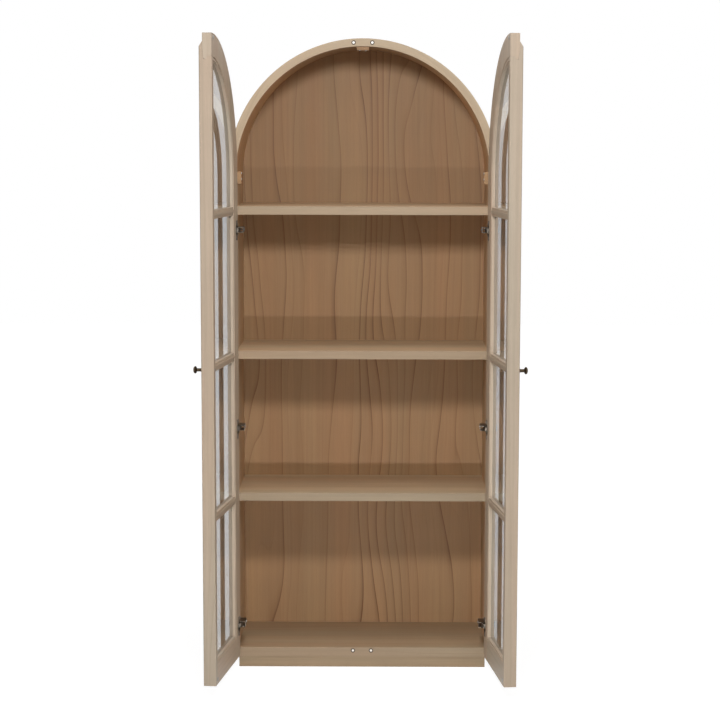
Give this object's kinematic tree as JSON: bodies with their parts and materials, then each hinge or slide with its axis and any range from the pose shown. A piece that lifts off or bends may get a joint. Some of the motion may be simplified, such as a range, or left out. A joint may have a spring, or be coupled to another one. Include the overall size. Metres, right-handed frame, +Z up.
{
  "type": "arched glazed display cabinet",
  "caption": "Tall pale wood display cabinet with a round arched top, fixed shelves and a pair of glazed arched doors standing open.",
  "frame": {"origin": "middle of the front plinth rail's underside, on the floor", "axes": "+X to the right seen from the front, +Y from the front to the back, +Z up"},
  "size_m": [1.068, 0.8709, 2.13],
  "materials": {
    "carcass_wood": "clear matt lacquer",
    "back_wood": "clear matt lacquer",
    "plinth_wood": "clear matt lacquer",
    "shelf_wood": "clear matt lacquer",
    "block_wood": "clear matt lacquer",
    "tongue_wood": "clear matt lacquer",
    "door_wood": "clear matt lacquer",
    "bead_wood": "clear matt lacquer",
    "clear_glass": "clear polished",
    "hinge_nickel": "nickel plated",
    "screw_steel": "zinc plated",
    "magnet_metal": "plated",
    "dark_bronze": "dark bronze satin"
  },
  "bodies": {
    "cabinet": {"side_panel_left": "carcass_wood", "side_panel_right": "carcass_wood", "arch_top": "carcass_wood", "back_panel": "back_wood", "bottom_panel": "shelf_wood", "shelf_upper": "shelf_wood", "shelf_middle": "shelf_wood", "shelf_lower": "shelf_wood", "plinth_front": "plinth_wood", "plinth_back": "plinth_wood", "plinth_left": "plinth_wood", "plinth_right": "plinth_wood", "crown_block": "block_wood", "side_blocks": "block_wood", "arch_tongues": "tongue_wood", "block_screws": "screw_steel", "catch_magnets": "magnet_metal", "hinge_plates": "hinge_nickel", "hinge_arms": "hinge_nickel", "hinge_screws": "screw_steel"},
    "hinge_link_set_left": {"hinge_links_left": "hinge_nickel"},
    "door_left": {"hinge_stile_left": "door_wood", "meeting_stile_left": "door_wood", "arched_rail_left": "door_wood", "bottom_rail_left": "door_wood", "muntin_upper_left": "door_wood", "muntin_middle_left": "door_wood", "muntin_lower_left": "door_wood", "arch_bars_left": "door_wood", "glass_arched_left": "clear_glass", "glass_upper_left": "clear_glass", "glass_lower_left": "clear_glass", "glass_bottom_left": "clear_glass", "glazing_beads_left": "bead_wood", "frame_tongues_left": "tongue_wood", "knob_left": "dark_bronze", "knob_screw_left": "screw_steel", "strike_plates_left": "screw_steel", "hinge_cups_left": "hinge_nickel", "cup_screws_left": "screw_steel"},
    "hinge_link_set_right": {"hinge_links_right": "hinge_nickel"},
    "door_right": {"hinge_stile_right": "door_wood", "meeting_stile_right": "door_wood", "arched_rail_right": "door_wood", "bottom_rail_right": "door_wood", "muntin_upper_right": "door_wood", "muntin_middle_right": "door_wood", "muntin_lower_right": "door_wood", "arch_bars_right": "door_wood", "glass_arched_right": "clear_glass", "glass_upper_right": "clear_glass", "glass_lower_right": "clear_glass", "glass_bottom_right": "clear_glass", "glazing_beads_right": "bead_wood", "frame_tongues_right": "tongue_wood", "knob_right": "dark_bronze", "knob_screw_right": "screw_steel", "strike_plates_right": "screw_steel", "hinge_cups_right": "hinge_nickel", "cup_screws_right": "screw_steel"}
  },
  "joints": [
    {"name": "hinge_link_turn_left", "type": "hinge", "parent": "cabinet", "child": "hinge_link_set_left", "pos_m": [-0.41268, -0.0035, 0.828], "axis": [0, 0, 1], "range_deg": [-38.03, 0]},
    {"name": "door_swing_left", "type": "hinge", "parent": "hinge_link_set_left", "child": "door_left", "pos_m": [-0.42255, -0.03036, 0.828], "axis": [0, 0, 1], "range_deg": [0, 134.52]},
    {"name": "hinge_link_turn_right", "type": "hinge", "parent": "cabinet", "child": "hinge_link_set_right", "pos_m": [0.41268, -0.0035, 0.828], "axis": [0, 0, -1], "range_deg": [-37.76, 0]},
    {"name": "door_swing_right", "type": "hinge", "parent": "hinge_link_set_right", "child": "door_right", "pos_m": [0.42268, -0.03032, 0.828], "axis": [0, 0, -1], "range_deg": [0, 133.54]}
  ],
  "couplings": [
    {"joint": "hinge_link_turn_left", "follows": "door_swing_left", "ratio": -0.28264},
    {"joint": "hinge_link_turn_right", "follows": "door_swing_right", "ratio": -0.28264}
  ]
}
